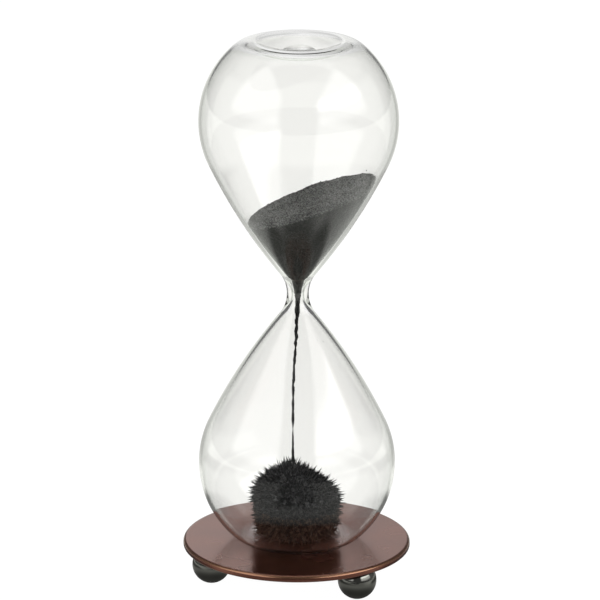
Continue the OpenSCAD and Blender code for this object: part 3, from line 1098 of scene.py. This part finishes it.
# %% What mirrors see of the sheet
paper, wires = new_finish("white_sheet")
place = wires.node("TexCoord", {}, {}, out="Object")
from_middle = wires.node("VectorMath", {"operation": "LENGTH"}, {0: place}, out="Value")
compass = bearings(wires, place)[-1]
past_back = compass.step(BACK_END - SOFT, BACK_END + SOFT)
in_front = compass.step(SIDE - SOFT, SIDE + SOFT) | (1 - from_middle.step(*FRONT_FROM))
beside_aisle = (1 - compass.step(AISLE_FROM, AISLE_TO)) | (1 - from_middle.step(*AISLE_OPENS))
wing_tone = WING_TONE + (1 - compass.step(WING_FROM, WING_TO)) * WING_ASIDE
wings = in_front * beside_aisle * (1 - from_middle.step(*WINGS_END)) * wing_tone
run = from_middle - BULB_R
reach = ray(wires, "Ray Length")
rise_squared = reach * reach - run * run
from_high = rise_squared.step((1 - HIGH_SOFT) * HIGH**2, (1 + HIGH_SOFT) * HIGH**2)
far_table = from_high * past_back * from_middle.step(*FAR_FROM)
close = 1 - from_middle.step(*CLOSE_END)
behind = by_compass(compass, PAPER_WHITE, close.mix(SHEET_ASIDE, PAPER_WHITE), SHEET_TO)
# Painted shadow: close round the middle, and a little wider under the balls, mirrors see the sheet darker,
# as the shadow of plate and balls; rays a few millimetres to two centimetres long from the balls see it a
# little lighter
under_sides = 1 - compass.step(SIDE + SOFT, SIDE + 5 * SOFT)
near_painted_shadow = 1 - (from_middle - under_sides * NEAR_WIDER).step(*NEAR_END)
painted_shadow_tone = NEAR_TONE + reach.step(*GLOW_FROM) * (1 - reach.step(*GLOW_TO)) * NEAR_GLOW
in_mirror = near_painted_shadow.mix(wings | behind | far_table | TABLE_TONE, painted_shadow_tone)
print("wings end", WINGS_END[1], "m out")

# %% Sheet finish
PAPER_SHARE = 0.9
PAPER_TINT = (1, 1, 0.965, 1)
GLASS_TINT = (0.97, 1, 0.93, 1)
BOUNCE = 0.45
LOST_INSIDE = 0.4
LOST_HIGH = 0.65
THROUGH_END = (0.06, 0.09)

eye = ray(wires, "Is Camera Ray")
bent = ray(wires, "Is Glossy Ray") | ray(wires, "Is Transmission Ray")
through = ray(wires, "Transmission Depth").step(2, 3) | (1 - from_middle.step(*THROUGH_END))
plain = (through | (1 - past_back)) * PAPER_WHITE | TABLE_TONE
tone = by_ray(wires, plain, in_mirror, from_high.mix(LOST_INSIDE, LOST_HIGH))
level = eye.mix(tone, PAPER_WHITE)
off_glass = ray(wires, "Glossy Depth").step(0, 1) * ray(wires, "Transmission Depth").step(0, 1)
tint = eye.between(off_glass.between(PAPER_TINT, GLASS_TINT), grey(1))
glow = wires.node("VectorMath", {"operation": "SCALE"}, {0: tint, 3: level})
white = wires.node("Emission", {}, {"Color": glow})
lit = wires.node("BsdfDiffuse", {}, {"Color": eye.between(grey(BOUNCE), grey(0.9))})
show(wires, wires.node("MixShader", {}, {0: (eye | bent) * PAPER_SHARE, 1: lit, 2: white}))
paper.cycles.emission_sampling = "NONE"
print("sheet finish:", paper.name)

# %% Floor
FLOOR_SIZE = 6

bm = bmesh.new()
bmesh.ops.create_grid(bm, x_segments=4, y_segments=4, size=FLOOR_SIZE / 2)
mesh = bpy.data.meshes.new("floor")
bm.to_mesh(mesh)
bm.free()
mesh.materials.append(paper)
floor = bpy.data.objects.new("floor", mesh)
scene.collection.objects.link(floor)
floor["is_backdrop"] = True
print("floor:", FLOOR_SIZE, "m square")

# %% [markdown]
# ## Light
# The light is a small tent: one tall soft panel on each side of the camera, and one overhead, towards the
# back. Lamps have hard edges, and a mirror would show them, so the lamps only light the object. What
# mirrors and glass see is painted on the room instead, with soft edges: two side panels with a brighter
# window in the right one, dim gaps between, and the white wall behind. The room tells rays apart as the
# sheet does, so that clear glass stays clear.

# %% Panels
PANEL_LEVEL = 1.1
PANEL_AWAY = 0.45
PANEL_Z = 0.36
PANEL_H = 0.66
LEFT_Y = -0.62
LEFT_W = 1.1
RIGHT_Y = -0.68
RIGHT_W = 1.0
TOP_AT = (0, 0.3, 1.0)
TOP_AIM = (0, 0, 0.08)
TOP_W = 0.9


def panel(name, middle, toward, width, height, level):
    """A soft light of that size. Its power is set so that its face has the given brightness."""
    light = bpy.data.lights.new(name, "AREA")
    light.shape = "RECTANGLE"
    light.size = width
    light.size_y = height
    light.energy = level * math.pi * width * height
    lamp = bpy.data.objects.new(name, light)
    lamp.location = middle
    lamp.rotation_euler = (Vector(toward) - Vector(middle)).to_track_quat("-Z", "Y").to_euler()
    lamp.visible_glossy = False
    lamp.visible_transmission = False
    scene.collection.objects.link(lamp)


panel("panel_left", (-PANEL_AWAY, LEFT_Y, PANEL_Z), (0, LEFT_Y, PANEL_Z), LEFT_W, PANEL_H, PANEL_LEVEL)
panel("panel_right", (PANEL_AWAY, RIGHT_Y, PANEL_Z), (0, RIGHT_Y, PANEL_Z), RIGHT_W, PANEL_H, PANEL_LEVEL)
panel("panel_top", TOP_AT, TOP_AIM, TOP_W, TOP_W, PANEL_LEVEL)
print("three panels at level", PANEL_LEVEL)

# %% Room tones
ROOM_FILL = 0.4
ROOM_DIM = 0.12
PANEL_SEEN = 1.6
WINDOW_SEEN = 3.4
FLANK_TONE = 0.25
WALL_BEHIND = 0.95
WALL_ASIDE = 0.12
WALL_SHADE = 0.25
WALL_TO = math.radians(18)
PANEL_FROM = math.radians(150)
PANEL_TO = math.radians(162)
FLANK_END = math.radians(108)
LEFT_SLOPE = 2
RIGHT_SLOPE = 1.55
PANEL_SOFT = 0.15
OVERHEAD_LEAN = 0.13
# Parts of a direction over which one thing passes into another: upwards, to the right and to the back
PANEL_FOOT = (0.06, 0.28)
PANEL_HEAD = (0.85, 0.95)
WINDOW_FOOT = (0.36, 0.42)
WINDOW_HEAD = (0.55, 0.65)
FLANK_HEAD = (0.5, 0.8)
OVERHEAD_FOOT = (0.8, 0.95)
LOST_ABOVE = (0.75, 0.92)
RIGHT_HALF = (-0.1, 0.1)
RIGHT_WALL = (-0.05, 0.05)
OVERHEAD_EDGE = (-0.03, 0.06)
print("panels show", PANEL_SEEN, "and the window", WINDOW_SEEN)

# %% What mirrors see of the room
room = bpy.data.worlds.new("room")
room.use_nodes = True
room.node_tree.nodes.clear()
room.cycles.sampling_method = "NONE"
wires = Wire(room.node_tree)
direction = wires.node("TexCoord", {}, {}, out="Generated")
across, aside, back, compass = bearings(wires, direction)
up = wires.node("SeparateXYZ", {}, {0: direction}, out="Z")
on_right = across.step(*RIGHT_HALF)
slope = on_right.mix(LEFT_SLOPE, RIGHT_SLOPE)
panels = compass.step(SIDE - SOFT, SIDE + SOFT) * (1 - compass.step(PANEL_FROM, PANEL_TO))
panels = panels * up.step(*PANEL_FOOT) * (1 - up.step(*PANEL_HEAD))
panels = panels * (aside * slope - up).step(-PANEL_SOFT, PANEL_SOFT)
window = on_right * up.step(*WINDOW_FOOT) * (1 - up.step(*WINDOW_HEAD))
panels = panels * window.mix(PANEL_SEEN, WINDOW_SEEN)
flanks = compass.step(BACK_END, BACK_END + 2 * SOFT)
flanks = flanks * (1 - compass.step(FLANK_END - SOFT, FLANK_END + SOFT))
flanks = flanks * (1 - up.step(*FLANK_HEAD)) * FLANK_TONE
wall = by_compass(compass, WALL_BEHIND, WALL_ASIDE, WALL_TO)
wall = wall * (1 - across.step(*RIGHT_WALL) * WALL_SHADE)
overhead = (back + up * OVERHEAD_LEAN).step(*OVERHEAD_EDGE) * up.step(*OVERHEAD_FOOT)
in_mirror = panels | flanks | wall | overhead | ROOM_DIM
print("the room is dim at", ROOM_DIM)

# %% Room
eye = ray(wires, "Is Camera Ray")
bent = ray(wires, "Is Glossy Ray") | ray(wires, "Is Transmission Ray")
through = ray(wires, "Transmission Depth").step(2, 3)
plain = through | (1 - compass.step(BACK_END - SOFT, BACK_END + SOFT)) | ROOM_DIM
tone = by_ray(wires, plain, in_mirror, up.step(*LOST_ABOVE).mix(LOST_HIGH, LOST_INSIDE))
level = eye.mix(bent.mix(ROOM_FILL, tone), 1)
sky = wires.node("Background", {}, {"Color": level})
wires.node("OutputWorld", {}, {"Surface": sky})
scene.world = room
scene.view_settings.view_transform = "Standard"

# Light in thick glass is thrown back and forth many times before it leaves
scene.cycles.max_bounces = 24
scene.cycles.glossy_bounces = 16
scene.cycles.transmission_bounces = 24
scene.cycles.transparent_max_bounces = 24
print("room: fill", ROOM_FILL)

# %% Size
size = {
    "cad_box": [list(corner) for corner in cad_box],
    "visual_box": [list(corner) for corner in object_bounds()],
}
print("visual box:", [[round(x, 4) for x in corner] for corner in size["visual_box"]])
